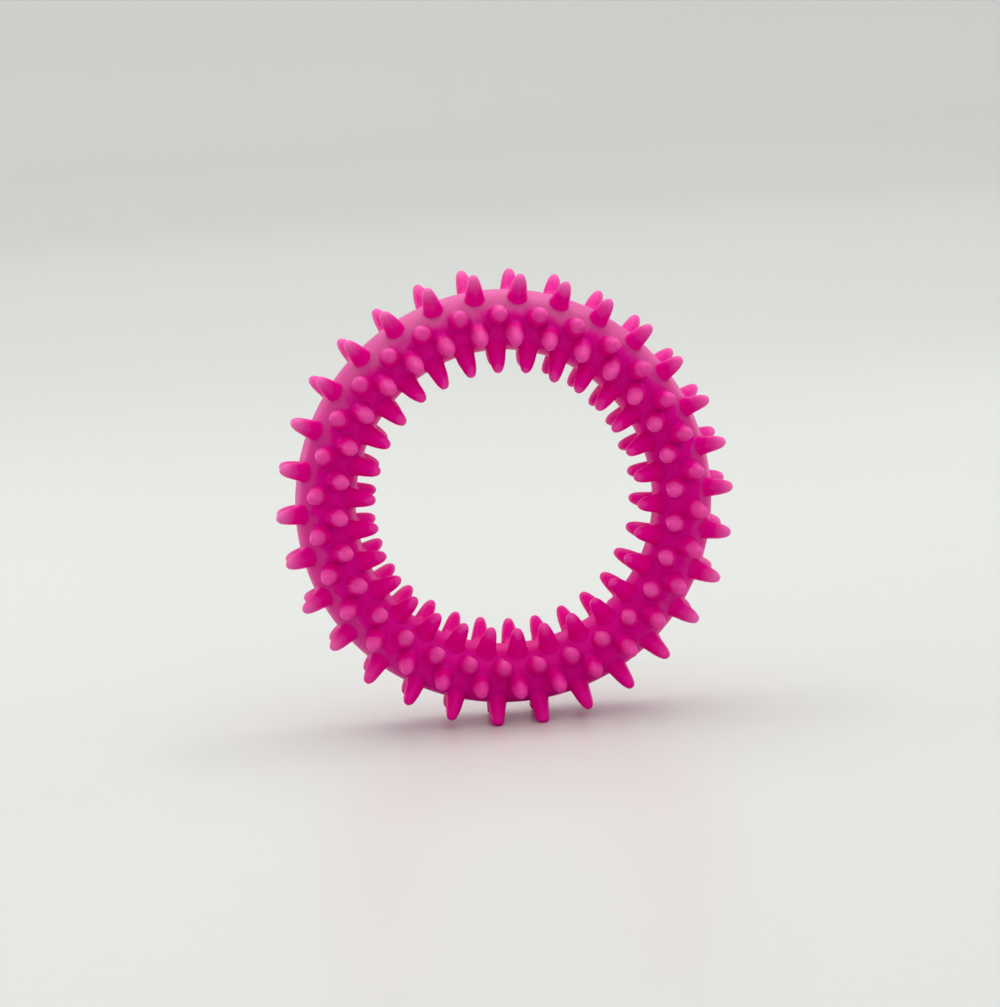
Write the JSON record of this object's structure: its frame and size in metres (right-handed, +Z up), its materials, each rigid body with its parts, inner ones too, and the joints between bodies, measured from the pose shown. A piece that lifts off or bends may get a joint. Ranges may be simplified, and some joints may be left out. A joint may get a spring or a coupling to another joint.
{
  "type": "ring chew toy",
  "caption": "Solid soft-rubber ring chew toy with staggered rows of blunt massage spikes, standing on edge; a hand, jaw or rope goes through the open ring.",
  "frame": {"origin": "centre of the ring, on the plane midway between the front and back rows of spikes", "axes": "+Y along the ring's axis towards the back, so the front faces -Y; +Z up as the ring stands on edge; +X to the right seen from the front"},
  "size_m": [0.1018, 0.0256, 0.1012],
  "materials": {
    "tube_rubber": "satin matte, translucent soft rubber, deep magenta",
    "spike_rubber": "satin matte, translucent soft rubber, magenta going to pale pink at the tips"
  },
  "bodies": {
    "root": {"ring_tube": "tube_rubber", "front_outer_edge_spikes": "spike_rubber", "front_outer_face_spikes": "spike_rubber", "front_inner_face_spikes": "spike_rubber", "front_inner_edge_spikes": "spike_rubber", "back_outer_edge_spikes": "spike_rubber", "back_outer_face_spikes": "spike_rubber", "back_inner_face_spikes": "spike_rubber", "back_inner_edge_spikes": "spike_rubber"}
  },
  "joints": []
}
